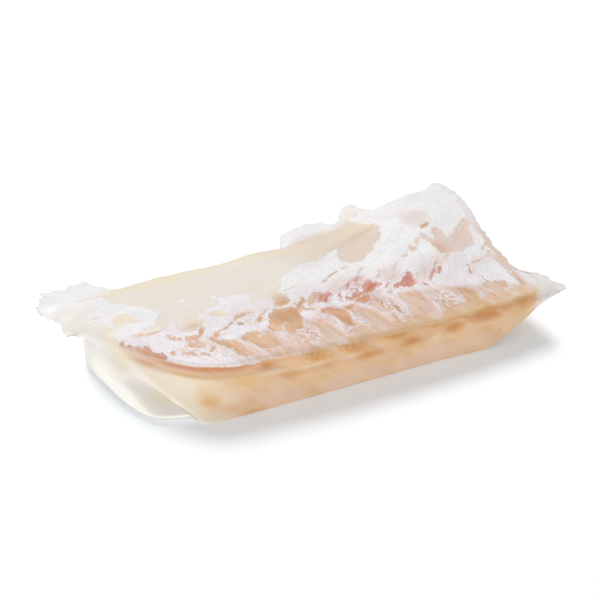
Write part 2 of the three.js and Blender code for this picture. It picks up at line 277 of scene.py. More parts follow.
# White creases where the membrane is bunched up over the seams of the front band: ends and half width.
CREASES = [
    (-39.8, -38, -36.2, -43.5, 0.7), (-36.2, -43.5, -34, -49.6, 0.7), (-27.3, -37, -23.5, -40, 0.9),
    (-25, -40.5, -20.5, -47, 0.5), (-11, -31, -5, -33, 1.4), (-9.5, -33.5, -5, -35.5, 0.9),
    (-5, -35.5, -2, -40, 0.6), (-2, -40, 0, -45.5, 0.5), (-4, -33.5, 0, -37, 0.9), (0, -37, 1.2, -44, 0.6),
    (7.2, -35, 7.4, -39, 0.7), (7.4, -39, 9, -43, 0.6), (9.5, -40, 12, -49.5, 0.8),
    (14, -32.3, 17.5, -36, 0.8), (17.5, -36, 20, -41.5, 0.7), (20, -41.5, 20.8, -49, 0.6),
    (25.5, -31, 24.3, -37, 0.5), (28.6, -31, 29.4, -36, 0.6), (29.6, -34, 30.2, -41, 0.5),
    (38.5, -33, 41, -39, 1), (41, -39, 42.4, -44, 1), (42.4, -44, 42.2, -50, 0.8),
    (48, -35, 52.5, -38.5, 0.5), (52.5, -38.5, 54, -43, 0.5), (54, -43, 54, -50, 0.4),
    (63.2, -41, 63.5, -46, 1), (-18.5, -40.2, -12.5, -38.8, 0.6), (-47, -36, -45.5, -40, 0.6),
]

# Patches where the membrane is coarse white lace, a whole sheet over the front band, or a thin veil: middle
# x and y, half length, half width and turn.
LACE = [
    (-14.5, -44, 5, 5, 0), (9, -43, 3, 6, 15), (25, -41, 4, 8, 0), (47.8, -42.5, 5, 7.5, 0),
    (-53, -43, 8, 4, -20), (-66, -28, 8, 5, -45), (73, -45.5, 3, 2.5, 0), (3, -47, 4, 3, 0),
    (17, -18, 6, 4, 40), (-30, -28, 5, 4, 30), (-59, -36, 8, 4, -20), (14, -29, 5, 4, 0),
]
WHOLE = [
    (-50, -48, 16, 4, -8), (78, -34, 6, 7, 0), (50, -31, 8, 3.5, -10), (-53, -45, 9, 3, -12),
    (66, -32, 8, 4, -10),
]
VEILS = [
    (67, 24, 6, 8, 0), (10, 8.7, 7, 1.8, 8), (13, -14, 6, 3, 50), (18, -17, 7, 4, 45), (77, -19, 6, 3, 15),
    (35, -15, 6, 4, 60), (-31, -20.5, 5, 2, 20), (69, -24.5, 4, 1.5, 65), (76, 2, 5, 3, 60),
    (48, -22, 4, 2, 50), (24, -27, 4, 3, 0), (3, -21, 4, 3, 40), (60, -12, 5, 3, 50), (-84, -4, 3, 12, 0),
    (-59, -36, 8, 4, -20), (22, -16, 3, 3, 60), (-24, -21, 3, 2, 40), (-44, -41, 6, 4, -40),
    (-55, -33, 6, 3, -20), (-18, -45, 5, 3, 0), (-26, -48, 8, 2, 0), (35, -38, 5, 5, 0),
]

# Soft stains on the top: x, y, half length, half width, turn and strength.
TOP_STAINS = {
    "straw": [
        (60, -45, 8, 6, 0, 0.4), (77, -46, 8, 5, 0, 0.5), (40, 30, 14, 4, 15, 0.5), (10, 24, 12, 4, 8, 0.4),
        (-52, 26.5, 14, 2, 0, 0.4), (-52, -18, 6, 3, 0, 0.5), (66, 32, 3, 1, 25, 0.5),
    ],
    "tan": [
        (-54, -21.5, 5, 3, 20, 0.6), (-14, -18, 4.5, 7, -25, 1), (40, 24, 11, 3, 25, 0.35),
        (-59, -36, 9, 4, -20, 0.5), (22, -26, 7, 4, 10, 0.5), (50, -19, 4, 3, 50, 0.3),
        (57, -44, 2, 6, 0, 0.4), (34, -46, 4, 4, 0, 0.4),
    ],
    "rose": [
        (-45, -46, 7, 3, -10, 0.7), (-20, -47, 8, 2.4, 0, 0.6), (-2, -48, 10, 2, 0, 0.6),
        (72, -39, 6, 3, 0, 0.6),
    ],
    "blush": [(34, 9, 13, 7, 35, 0.75), (70, -6, 10, 5, 0, 0.2)],
    "amber": [
        (-74.5, -17, 1.9, 1, -15, 0.8), (-69, -19.3, 4, 1, -3, 0.8), (-63.8, -18, 2.4, 0.9, 35, 0.6),
        (63.5, -5.5, 3, 5, 0, 0.7), (15.5, -28, 6, 3.2, 0, 0.85), (-31, -37, 4, 2, -10, 0.25),
        (-20, -28, 5, 3, 40, 0.4), (53, -0.8, 2, 1.5, 0, 0.3), (-43, -43, 2.5, 3.5, 20, 0.5),
        (3, -36, 3, 5, 0, 0.4),
    ],
    "blood": [
        (21, -22, 14, 7, 20, 0.1), (14, -18, 8, 5, 45, 0.35), (39.3, -23.6, 3.6, 3, 30, 0.9),
        (24, -22, 4, 1.6, 20, 0.8), (4, -19.5, 2, 1, -20, 0.5), (18, -23, 2, 1.4, 60, 0.6),
        (49, -44, 2, 3, 0, 0.25), (-58, -38, 9, 4, -30, 0.15), (52, -24, 4, 1, 55, 0.5),
        (72.8, -46.5, 1.6, 1.4, 0, 0.25), (0, -30.5, 3, 1.2, -20, 0.4),
    ],
}

# Soft stains on the flank under the front edge: x, height, half length, half height and strength.
FLANK_STAINS = {
    "straw": [
        (-70, 14, 8, 6, 0.3), (-31, 17, 6, 0.9, 0.6), (-16, 16.8, 7, 0.8, 0.6), (-1, 16.5, 5, 0.8, 0.6),
        (9, 16.7, 4, 0.6, 0.4), (36, 14, 3, 2.5, 0.3),
    ],
    "blush": [(-49, 9, 5, 4, 0.45), (-33, 8, 4, 4, 0.3), (5, 5, 12, 3, 0.3), (38, 6, 16, 3.5, 0.35)],
    "gold": [
        (-44, 17, 5, 2.4, 0.9), (-57.5, 8, 4, 4.2, 1), (-60, 13, 3, 4, 0.5), (-65, 19.3, 8, 0.9, 1),
        (-53, 19, 6, 0.9, 0.7), (-22, 18, 4, 1, 0.5), (60, 19.6, 10, 0.8, 0.6), (35, 19.4, 12, 0.9, 0.7),
        (77, 19.4, 7, 0.8, 0.6),
    ],
    "amber": [
        (-30, 16, 6, 2, 0.4), (-8, 16, 5, 2, 0.35), (-76.5, 19.8, 4, 1.4, 0.8), (-51, 4, 6, 2.4, 0.35),
        (-58, 8, 2.6, 2.4, 0.4),
    ],
    "brown": [
        (-35.5, 20.1, 2.8, 1.2, 1), (-26, 14.5, 5, 2.2, 0.5), (-11, 14.6, 4, 2, 0.35),
        (7, 15.2, 6.5, 2.4, 0.9), (25.5, 15.6, 5.5, 2.5, 1), (33.5, 16.5, 2, 2, 0.3),
        (44.5, 17, 4.2, 2.5, 1), (57, 18.4, 5, 1.6, 0.8), (62.5, 17.2, 6.5, 2.3, 1),
        (78, 17.6, 4.5, 2.6, 0.75), (-42, 1, 4, 1.4, 0.5), (-43, 7, 3, 3, 0.2), (66.7, 8, 0.7, 0.5, 0.6),
        (16, 8, 4, 3, 0.2), (34.7, 20.9, 0.4, 0.7, 0.8),
    ],
}

# Pads of fin muscle right under the front rim: x, height, half length and half height. They slope down to
# the right by PAD_SLOPE.
PADS = [
    (-15.5, 20.2, 6.5, 2.4), (0.5, 20.1, 6.3, 2.3), (18, 20.2, 6.5, 1.6), (32, 20.6, 6, 1),
    (46, 20.3, 5, 0.8), (60, 20.1, 5, 0.7),
]
PAD_SLOPE = 0.2

# The muscle in the groove under the left front edge, and its dark heart, which is partly painted shade for
# the hollow under the membrane's overhang: x, height and the half sizes.
GROOVE = (-57, 22.6, 20, 2.6)
GROOVE_SHADED_HEART = (-57, 23.4, 3.6, 1.2)

# Yellow fat on the cut left end: x, y, height, radius and strength.
END_FAT = [
    (-82.6, -18.6, 15.6, 4.6, 0.8), (-74, -35, 8, 5.5, 0.6), (-71.3, -37.4, 8.6, 1.7, 1),
    (-84, -13, 21, 5, 0.7),
]

# The thin films at the cut ends: a root line on the flesh, the ragged outer edge, and the places between
# which their colour turns from warm to grey.
FILMS = {
    "film_left_tongue": {
        "root": [(-85, 2), (-81, 6), (-78.5, 11), (-76, 17), (-72, 23), (-66, 27)],
        "edge": [
            (-90.5, 5), (-92.5, 7), (-96.1, 8.2), (-96.4, 18.5), (-99.8, 25.1), (-100, 31.9), (-94, 40.6),
            (-86, 39.7), (-80.6, 41.6), (-75.4, 41.4), (-73.4, 35.8), (-66.8, 31.6),
        ],
        "grey": (-88, 29),
        "warm": (-87, 20),
        "columns": 170,
    },
    "film_back_skirt": {
        "root": [(4, 24), (12, 26.5), (20, 28.5), (30, 30.5), (38, 33), (46, 36), (54, 37)],
        "edge": [
            (5.8, 27.4), (8.1, 33.2), (12.1, 41.8), (17.6, 43.7), (23.3, 45.8), (32.6, 42.8), (35.1, 39.8),
            (39.6, 42.2), (43.9, 48.6), (49.9, 50.8), (52.6, 45.2), (56.5, 40.4),
        ],
        "grey": (30, 42),
        "warm": (42, 40),
        "columns": 150,
    },
    "film_right_tip": {
        "root": [(85.5, -21), (85.5, -30), (85, -37), (83.5, -42), (82, -45.5)],
        "edge": [
            (87.4, -24), (88.6, -29.8), (92.6, -31.9), (97.1, -34.8), (97.6, -40.2), (100.8, -43.2),
            (98.5, -47), (88, -50.4),
        ],
        "grey": (106, -38),
        "warm": (84, -38),
        "columns": 100,
    },
}
# A film lies FILM_RISE over the flesh, which is looked for downwards from ABOVE_ALL, and past it sinks by
# FILM_DROOP from row to row. A step down of more than FLESH_STEP is the flesh's end, and FILM_START is a
# film's height where its root misses the flesh.
FILM_ROWS = 26
FILM_RISE = 0.3
FILM_DROOP = 0.08
FLESH_STEP = 1.5
FILM_START = 15
ABOVE_ALL = 60

# The flesh of the flaps is drawn in: past FLAP_START it keeps this share of its reach.
FLAP_START = 3.2
FLAP_KEEP = 0.85

# The solid is rounded, but its sharp edges stay crisp at the foot and low at the right of the front edge.
# Its triangles are joined to quads where they meet within QUAD_ANGLE. Both angles are in degrees.
MERGE_DISTANCE = 0.01
QUAD_ANGLE = 60
SHARP_ANGLE = 30
FOOT_HEIGHT = 4.5
CRISPNESS = 0.85

# Colours that are the same in every loin: streaks of fat, and the specks left by the scale pockets.
FAT_STREAK = "#eadfcc"
SCALE_POCKET = "#b5a3a9"

# The camera: its angles in degrees, and its target, lens and sensor in millimetres.
CAMERA_AZIMUTH = -25
CAMERA_ELEVATION = 34
CAMERA_TARGET = (1.58, -0.80, 10)
CAMERA_LENS = 120
CAMERA_SENSOR = 36

# The stage in metres: the tabletop's side and the camera's far limit, and each soft box's name, place and
# size, by the setting that holds its power.
TABLETOP_SIZE = 6
CAMERA_REACH = 20
SOFT_BOXES = {
    "lamp": ("back_soft_box", (0.08, 0.7, 1), 0.7),
    "fill": ("front_soft_box", (-0.08, -1.1, 0.28), 0.8),
    "side": ("left_soft_box", (-1.1, -0.35, 0.12), 0.7),
}


def linear(code):
    """An sRGB colour code as the linear colour that Blender works in."""
    shares = [int(code[place:place + 2], 16) / 255 for place in (1, 3, 5)]
    return tuple(c / 12.92 if c <= 0.04045 else ((c + 0.055) / 1.055) ** 2.4 for c in shares)


def colour(name, code, description):
    """A colour that a user can change."""
    return bpy.props.FloatVectorProperty(
        name=name, description=description, subtype="COLOR", size=3, min=0, max=1, default=linear(code)
    )


def length(name, millimetres, description):
    """A length that a user can change."""
    return bpy.props.FloatProperty(
        name=name, description=description, subtype="DISTANCE", unit="LENGTH", min=0, default=millimetres * MM
    )


def amount(name, default, description, unit="NONE"):
    """A strength or a power that a user can change."""
    return bpy.props.FloatProperty(name=name, description=description, unit=unit, min=0, default=default)


class CodLoinFlesh(bpy.types.PropertyGroup):
    """Sizes and colours of the flesh and its membrane."""

    cream: colour("Cream", "#e5ddd4", "Bare flesh where the membrane was shaved off")
    beige: colour("Beige", "#dccbbd", "Bare flesh at the right of the shaved area")
    tan: colour("Tan", "#ca9c70", "Muscle under the windows")
    amber: colour("Amber", "#ce946b", "Fatty orange tissue at the edges of windows")
    blush: colour("Blush", "#dfc9bd", "Pink-beige flesh under the right end")
    rose: colour("Rose", "#d4b49c", "Rosy flesh under the right half of the front edge")
    blood: colour("Blood", "#c26e54", "Flesh with blood in it along the midline")
    side: colour("Side", "#dcb992", "Muscle of the front flank")
    groove: colour("Groove", "#c68b6a", "Pink-brown muscle in the groove under the front edge")
    gold: colour("Gold", "#d9b27d", "Fat and thin muscle on the front flank")
    brown: colour("Brown", "#c3854a", "Dark muscle under the front edge")
    straw: colour("Straw", "#e8dabf", "Pale yellow fat")
    # Pale is lighter than the cut flesh itself: painted light that lifts the shaded lower part of the cut
    # faces.
    pale: colour("Pale", "#fff9f0", "Clean cut face at the left end")
    membrane: colour("Membrane", "#eae8e9", "White connective membrane")
    veil: colour("Veil", "#e3dadf", "Thin membrane with the flesh showing through")
    film: colour("Film", "#e8e6e6", "Paper-thin film at the cut ends")
    # Tongue also darkens the upper part of the cut left end, as painted shade.
    tongue: colour("Tongue", "#e8e1da", "Thin flesh that runs out under the films")
    thickness: length("Membrane thickness", 0.28, "How far the membrane stands above bare flesh")
    film_thickness: length("Film thickness", 0.3, "Thickness of the films at the cut ends")
    levels: bpy.props.IntProperty(
        name="Levels", description="Subdivision of the solid", min=1, max=3, default=2
    )


class CodLoinStage(bpy.types.PropertyGroup):
    """Camera distance, floor and light."""

    floor: colour("Floor", "#f7f9fb", "White tabletop")
    glow: amount("Glow", 0.11, "Light that the tabletop lets through")
    distance: length("Camera distance", 820, "From the middle of the loin to the camera")
    sky: amount("Sky", 0.38, "Light from all round")
    lamp: amount("Lamp", 11, "Soft box at the back", "POWER")
    side: amount("Side", 3.9, "Soft box at the left", "POWER")
    fill: amount("Fill", 4.9, "Soft box at the front", "POWER")


def smooth(value, low, high):
    """0 at low and before, 1 at high and past it, with a soft slope between."""
    share = np.clip((value - low) / (high - low), 0, 1)
    return share * share * (3 - 2 * share)


def bump_of(*terms):
    """1 at the middle of a soft round stain and near 0 outside it, from distances over half sizes."""
    return np.exp(-sum(term * term for term in terms))


def ripple(u, v, seed):
    """Smooth noise from -1 to 1 with one swell for each unit cell. Another seed gives other swells."""
    def cell(ix, iy):
        value = np.sin(ix * 127.1 + iy * 311.7 + seed * 74.7) * 43758.5453
        return 2 * (value - np.floor(value)) - 1

    ix, iy = np.floor(u), np.floor(v)
    fx, fy = smooth(u - ix, 0, 1), smooth(v - iy, 0, 1)
    low = cell(ix, iy) * (1 - fx) + cell(ix + 1, iy) * fx
    high = cell(ix, iy + 1) * (1 - fx) + cell(ix + 1, iy + 1) * fx
    return low * (1 - fy) + high * fy


def turned(x, y, cx, cy, turn):
    """Distances along and across a direction turned from +X, from a middle."""
    c, s = math.cos(math.radians(turn)), math.sin(math.radians(turn))
    return (x - cx) * c + (y - cy) * s, (y - cy) * c - (x - cx) * s


def from_ellipse(x, y, shape):
    """Rough distance outside an ellipse, negative inside it."""
    cx, cy, half_length, half_width, turn = shape
    along, across = turned(x, y, cx, cy, turn)
    return (np.hypot(along / half_length, across / half_width) - 1) * min(half_length, half_width)


def from_line(x, y, ax, ay, bx, by):
    """Distance to a line from a to b, and the share of the way along it of the nearest place."""
    dx, dy = bx - ax, by - ay
    share = np.clip(((x - ax) * dx + (y - ay) * dy) / (dx * dx + dy * dy), 0, 1)
    return np.hypot(x - ax - share * dx, y - ay - share * dy), share


def from_slit(x, y, slit):
    """Distance outside a narrow tear that tapers to its ends, negative inside it."""
    distance, share = from_line(x, y, *slit[:4])
    return distance - slit[4] * (0.45 + 2.2 * share * (1 - share))


def outside(x, y, outline):
    """Distance outside a closed outline, negative inside it."""
    nearest = np.full(x.shape, np.inf)
    inside = np.zeros(x.shape, bool)
    for (ax, ay), (bx, by) in zip(outline, outline[1:] + outline[:1]):
        nearest = np.minimum(nearest, from_line(x, y, ax, ay, bx, by)[0])
        if ay != by:
            crossing = ax + (y - ay) / (by - ay) * (bx - ax)
            inside ^= ((ay > y) != (by > y)) & (x < crossing)
    return np.where(inside, -nearest, nearest)


def nearest_rim(x, y):
    """The nearest place on the rim: its x, y and height."""
    nearest = np.full(x.shape, np.inf)
    place = np.zeros((3, *x.shape))
    for (ax, ay, az), (bx, by, bz) in zip(RIM, RIM[1:] + RIM[:1]):
        distance, share = from_line(x, y, ax, ay, bx, by)
        candidate = [ax + (bx - ax) * share, ay + (by - ay) * share, az + (bz - az) * share]
        place = np.where(distance < nearest, candidate, place)
        nearest = np.minimum(nearest, distance)
    return place


def curve_through(points, shares):
    """Places at shares of the length of a smooth line through points."""
    knots = np.array([points[0], *points, points[-1]], float)
    t = np.linspace(0, 1, 12, endpoint=False)[:, None]
    pieces = [
        b + 0.5 * t * (c - a + t * (2 * a - 5 * b + 4 * c - d + t * (3 * (b - c) + d - a)))
        for a, b, c, d in zip(knots, knots[1:], knots[2:], knots[3:])
    ]
    line = np.vstack([*pieces, knots[-1:]])
    run = np.concatenate([[0], np.cumsum(np.linalg.norm(np.diff(line, axis=0), axis=1))])
    return np.stack([np.interp(shares * run[-1], run, axis) for axis in line.T], axis=1)


# What the flesh's material reads at each vertex, besides its two colours.
SURFACE_VALUES = (
    "cover", "tatter", "film", "layer", "lace", "streak", "grain", "muscle", "bare", "pad", "thin",
)


class Surface:
    """What lies where on the loin: each value is an array with one number for each vertex.

    Lengths are in millimetres. The cover, the windows and the shaved area are distances from an edge, and
    most other values are shares from 0 to 1.
    """

    def __init__(self, places, normals, settings):
        self.settings = settings
        self.x, self.y, self.z = places.T
        self.inside = -outside(self.x, self.y, [point[:2] for point in RIM])
        # The drop is how far a place lies below the rim beside it, and the dome counts as above the rim.
        on_dome = (self.inside > 4) & (normals[:, 2] > 0.2)
        self.drop = np.where(on_dome, -3, nearest_rim(self.x, self.y)[2] - self.z)
        early = 0.9 * smooth(self.x, 20, 60) * smooth(-self.y, 40, 46)
        self.wall = smooth(self.drop + early, 0.8, 1.8)
        self.level = smooth(normals[:, 2], 0.35, 0.8)
        self.past_fold = self.x + FOLD_RAKE * self.z - FOLD_X
        right_end = smooth(normals[:, 0], 0.45, 0.7) * smooth(self.x, 60, 70)
        front = smooth(-self.y, 12, 17) * smooth(self.past_fold, -2, 2) * (1 - right_end)
        self.thin = smooth(-self.inside, 0, 6) * smooth(self.z, 8, 11)
        self.stain_edge = 0.12 * ripple(self.x / 2.5, self.z / 2, 29)
        self.flank = self.wall * front
        self.cut = self.wall * (1 - front)
        self.band = smooth(np.interp(self.x, BAND_X, BAND_Y) - self.y, -1.5, 3) * (1 - self.cut)
        self.follow_grain()
        self.flesh = np.tile(settings.cream, (len(places), 1))
        self.sheet = np.tile(settings.membrane, (len(places), 1))
        self.tear()
        self.veil()
        self.stain_top()
        self.stain_walls()
        self.bare = (1 - smooth(self.shaved, -1, 0.5)) * (1 - self.wall)
        self.muscle = 0.15 + (0.5 * self.band + 0.45 * smooth(self.shaved, 0, 3)) * (1 - self.wall)

    def follow_grain(self):
        """A coordinate across the fibres, which bends at the midline and runs down the flank."""
        from_midline = self.y - MIDLINE_Y
        bend = np.hypot(from_midline, MIDLINE_BEND)
        top = self.x - (GRAIN_BACK + GRAIN_FRONT) / 2 * from_midline - (GRAIN_BACK - GRAIN_FRONT) / 2 * bend
        flank = self.x + GRAIN_FRONT * MIDLINE_TO_FRONT - FLANK_RAKE * self.drop
        self.grain = top + (flank - top) * self.flank
        self.level_x = self.x + FLANK_RAKE * (self.z - FLANK_SEAM_Z)
        passed = np.array([self.level_x - seam for seam in FLANK_SEAMS])
        self.from_seam = np.take_along_axis(passed, np.abs(passed).argmin(axis=0)[None], axis=0)[0]

    def lay(self, name, strength):
        """Lays one of the flesh colours over what is there."""
        laid = np.array(getattr(self.settings, name))
        self.flesh += (laid - self.flesh) * np.clip(strength, 0, 1)[:, None]

    def tear(self):
        """How far inside the membrane each place lies, negative where the flesh is bare."""
        wide = self.grain / 2.6, self.y / 6
        fine = self.grain / 1.2, self.y / 2.2
        x = self.x + 0.55 * ripple(*wide, 1) + 0.4 * ripple(*fine, 2)
        y = self.y + 0.55 * ripple(*wide, 3) + 0.4 * ripple(*fine, 4)
        self.shaved = outside(x, y, SHAVED)
        cover = self.shaved
        self.windows = {}
        self.layer = np.zeros(x.shape)
        for name, layer in WINDOW_LAYER.items():
            distances = [outside(x, y, outline) for outline in LARGE_WINDOWS.get(name, [])]
            distances += [from_ellipse(x, y, shape) for shape in SMALL_WINDOWS.get(name, [])]
            distances += [from_slit(x, y, slit) for slit in SLITS.get(name, [])]
            self.windows[name] = np.minimum.reduce(distances)
            self.layer = np.where(self.windows[name] < np.minimum(cover, 1), layer, self.layer)
            cover = np.minimum(cover, self.windows[name])
        self.layer *= 1 - self.wall
        for scrap in SCRAPS:
            cover = np.maximum(cover, -from_ellipse(x, y, scrap))
        hem = np.where(self.y < -12, np.interp(self.x, HEM_X, HEM_DROP), 0.3)
        hem = np.where((self.y > 30) & (self.x > 50), 4, hem)
        hem = np.where((self.y > -32) & (self.x > 84), 0.5, hem)
        hanging = (hem - self.drop + 0.6 * ripple(self.x / 5, self.y / 5, 9)) * 1.2
        bare_rim = np.interp(self.y, BARE_Y, BARE_RIM) - 0.9 * ripple(self.x / 4, self.y / 4, 10)
        at_right = smooth(self.x, 76, 84) * smooth(self.y, -46, -40) * (1 - smooth(self.y, 32, 40))
        hanging = np.minimum(hanging, self.inside - bare_rim + 20 * (1 - at_right))
        self.tatter = 0.15 + 0.85 * smooth(hanging, 0.4, 2.5)
        self.cover = np.minimum(cover, hanging)

    def veil(self):
        """How opaque the membrane is where it is whole, and how much it is streaked or coarse."""
        def patches(shapes, soft):
            distances = [from_ellipse(self.x, self.y, shape) for shape in shapes]
            return np.maximum.reduce([1 - smooth(distance, -soft, soft) for distance in distances])

        torn = smooth(-self.y, 6, 16) * smooth(self.x, -60, -45) * (1 - smooth(self.x, 62, 76))
        self.lace = 0.8 * patches(LACE, 2) * (1 - self.wall)
        self.streak = 0.12 + 0.4 * np.maximum(torn, self.band)
        film = 0.97 - 0.52 * self.band
        film = np.maximum(film, 0.85 * patches(WHOLE, 3))
        creases = [from_line(self.x, self.y, *c[:4])[0] - c[4] for c in CREASES]
        bunched = 0.75 + 0.25 * ripple(self.x / 2, self.y / 4, 27)
        film = np.maximum(film, bunched * (1 - smooth(np.minimum.reduce(creases), -0.3, 1)))
        film = film * (1 - 0.5 * patches(VEILS, 2.5))
        film += 0.25 * self.lace * (film < 0.8)
        worn = 0.75 * smooth(self.drop, -1.2, 0.4) * smooth(self.x, -8, 6) * smooth(-self.y, 40, 46)
        film = film * (1 - worn)
        self.film = np.clip(film, 0, 1)
        thin = 0.8 * self.band + 0.5 * torn + 0.8 * smooth(-self.x, 46, 64) * smooth(-self.y, 10, 20)
        self.sheet += (np.array(self.settings.veil) - self.sheet) * np.clip(thin, 0, 1)[:, None]

    def stain_top(self):
        """The colours of the flesh on the top, each laid over the last."""
        x, y = self.x, self.y
        on_top = 1 - self.cut
        beside = smooth(self.shaved, 0.5, 4)
        back_fat = 0.6 * smooth(y + 1.5 * ripple(x / 9, y / 3, 21), 21, 27)
        self.lay("straw", back_fat * (1 - smooth(x, 20, 40)) * on_top)
        self.lay("straw", 0.3 * smooth(ripple(x / 24, y / 1.7, 22), 0, 0.8) * on_top * (1 - beside))
        self.lay("beige", smooth(x + 0.4 * y, -2, 36) * on_top)
        self.lay("blush", 0.9 * beside * on_top * smooth(x, -70, -50))
        self.lay("tan", 0.7 * self.band)
        uneven = 0.8 * ripple(self.grain / 2, y / 5, 28)
        for name, reach in WINDOW_REACH.items():
            window = self.windows[name]
            depth = 0.7 + 0.3 * smooth(uneven - window, -0.5, 2.5)
            self.lay(name, depth * (1 - smooth(window, 0.2, reach)) * on_top)
        for name, stains in TOP_STAINS.items():
            for cx, cy, half_length, half_width, turn, strength in stains:
                along, across = turned(x, y, cx, cy, turn)
                self.lay(name, strength * bump_of(along / half_length, across / half_width) * on_top)
        shade = 0.35 * ripple(self.grain / 3, y / 7, 23)
        self.lay("straw", np.maximum(shade, 0) * self.band * (1 - self.wall))
        self.lay("amber", np.maximum(-shade, 0) * self.band * (1 - self.wall))

    def stain_walls(self):
        """The colours of the flank at the front and of the pale cut faces, with painted light and shade on
        the cut left end.
        """
        x, y, z = self.x, self.y, self.z
        # Painted light and shade on the cut faces: pale is lighter than the cut flesh, to lift the shaded
        # lower part of the left end, and tongue laid high up darkens its upper part as painted shade. On
        # level parts tongue is the thin flesh's own colour.
        self.lay("pale", self.cut)
        self.lay("cream", 0.85 * self.cut * smooth(y, 4, 16) * (1 - smooth(x, 70, 82)))
        self.lay("cream", 0.6 * self.cut * smooth(x, 50, 70))
        self.lay("tongue", self.cut * np.maximum(self.level, 0.9 * smooth(z, 7, 18)))
        # Cream darkens the left end's bottom rim: painted shade against the light that the rim catches.
        self.lay("cream", 0.7 * self.cut * (1 - smooth(z, 1, 3)) * smooth(-x, 60, 70))
        self.lay("tongue", smooth(-x, 80, 86) * smooth(y, -8, 4))
        right_rim = smooth(x, 78, 84) * smooth(y, -48, -40) * (1 - smooth(self.inside, 1, 3))
        self.lay("blush", (0.75 - 0.5 * smooth(y, 0, 28)) * right_rim * (1 - smooth(self.drop, 4, 7)))
        self.lay("tan", 0.15 * right_rim * (1 - smooth(y, -20, 0)))
        # Film colour along the right rim is partly the pale membrane there and partly a painted highlight on
        # its ridge.
        self.lay("film", 0.7 * right_rim * smooth(y, 0, 20))
        self.lay("film", smooth(x, 83, 87) * (1 - smooth(y, -30, -22)) * (1 - self.flank))
        self.lay("film", 0.7 * self.cut * smooth(y, 22, 32) * smooth(x, 52, 64))
        for cx, cy, cz, radius, strength in END_FAT:
            spot = bump_of((x - cx) / radius, (y - cy) / radius, (z - cz) / radius)
            self.lay("straw", strength * spot * self.wall)
        # Straw along the fold between the cut end and the flank: partly the fold's own straw tone, partly
        # painted shade that dulls the light its ridge catches.
        self.lay("straw", 0.6 * bump_of(self.past_fold / 3.5) * self.wall * smooth(-y, 12, 17))
        self.lay("straw", 0.8 * self.flank)
        self.lay("gold", 0.25 * self.flank)
        self.lay("cream", 0.4 * self.flank * (1 - smooth(x + 0.25 * z, -62, -40)))
        muscle = self.flank * smooth(x + 0.25 * z, -57, -44)
        self.lay("side", muscle)
        self.lay("blush", 0.35 * muscle * (1 - smooth(z, 3, 12)))
        uneven = 0.5 + 0.5 * ripple(x / 13, z / 9, 24)
        wander = 0.8 * ripple(x / 3, z / 3, 30)
        swell = ripple(self.level_x / 7, z / 5, 34) + 0.5 * ripple(self.level_x / 2.5, z / 3, 35)
        self.lay("gold", 0.55 * np.maximum(swell, 0) * muscle)
        self.lay("brown", 0.3 * np.maximum(-swell, 0) * muscle * smooth(z, 5, 14))
        self.lay("blush", 0.3 * muscle * bump_of((self.from_seam + wander - 1.2) / 1.3) * (1 - uneven))
        seam = muscle * bump_of((self.from_seam + wander) / 1.4) * smooth(self.drop, 0.4, 2)
        self.seam = seam * (0.3 + 0.7 * uneven)
        beside_seam = 0.25 * uneven * muscle * bump_of((self.from_seam - 4) / 2.8)
        self.lay("brown", beside_seam * smooth(self.drop, 4, 8))
        under_rim = bump_of((self.drop - 2.8) / 1.8) * smooth(x, -42, -32) * (1 - smooth(x, 66, 80))
        self.lay("amber", 0.35 * under_rim * self.flank)
        pads = [
            bump_of(*self.from_flank_place(cx, cz + PAD_SLOPE * (cx - x), half_x, half_z))
            for cx, cz, half_x, half_z in PADS
        ]
        self.pad = self.flank * np.maximum.reduce(pads)
        self.lay("gold", 0.8 * self.pad)
        self.lay("brown", 0.75 * self.pad)
        self.lay("gold", 0.3 * bump_of((self.drop - 0.6) / 0.8) * smooth(-y, 40, 46) * smooth(x, -8, 6))
        for name, stains in FLANK_STAINS.items():
            for cx, cz, half_length, half_height, strength in stains:
                away = self.from_flank_place(cx, cz, half_length, half_height)
                self.lay(name, self.flank * strength * bump_of(*away))
        # The groove's pink-brown muscle, and its darker heart as partly painted shade in the hollow under the
        # rim.
        for name, (cx, cz, half_length, half_height) in (("groove", GROOVE), ("brown", GROOVE_SHADED_HEART)):
            flat = np.maximum(np.abs(x - cx) / half_length - 0.5, 0) * 2
            self.lay(name, self.flank * bump_of(flat, (z - cz) / half_height))
        self.lay("rose", 0.6 * self.seam)
        self.lay("beige", 0.85 * self.flank * smooth(x - 0.75 * (z - 15), 80.3, 82.3) * smooth(z, 11, 15))
        self.lay("tongue", 0.7 * self.flank * smooth(x, 83.5, 88))

    def from_flank_place(self, x, z, half_length, half_height):
        """How far along and up the flank each place is from a stain's middle, in its half sizes."""
        return (self.x - x) / half_length + self.stain_edge, (self.z - z) / half_height + self.stain_edge

    def relief(self, thickness):
        """How far each place stands off the plain solid."""
        ledge = thickness * smooth(self.cover, -0.5, 0.5) * self.film
        fibres = 0.05 * ripple(self.grain / 1.8, self.y / 9, 12) * (1 - self.wall)
        fibres *= smooth(self.shaved, 0, 3)
        notches = 0.9 * ripple(self.y / 2.6, self.z / 12, 33) * smooth(self.x, 84, 88) * self.cut
        return ledge + fibres + notches - 0.15 * self.seam + 0.5 * self.pad


def select_only(piece):
    """Leaves one piece selected and active."""
    bpy.ops.object.select_all(action="DESELECT")
    piece.select_set(True)
    bpy.context.view_layer.objects.active = piece


def points_of(piece):
    """The places of a piece's vertices as rows of three numbers."""
    values = np.empty(len(piece.data.vertices) * 3)
    piece.data.vertices.foreach_get("co", values)
    return values.reshape(-1, 3)


def normals_of(piece):
    """The normals of a piece's vertices as rows of three numbers."""
    values = np.empty(len(piece.data.vertices) * 3)
    piece.data.vertex_normals.foreach_get("vector", values)
    return values.reshape(-1, 3)


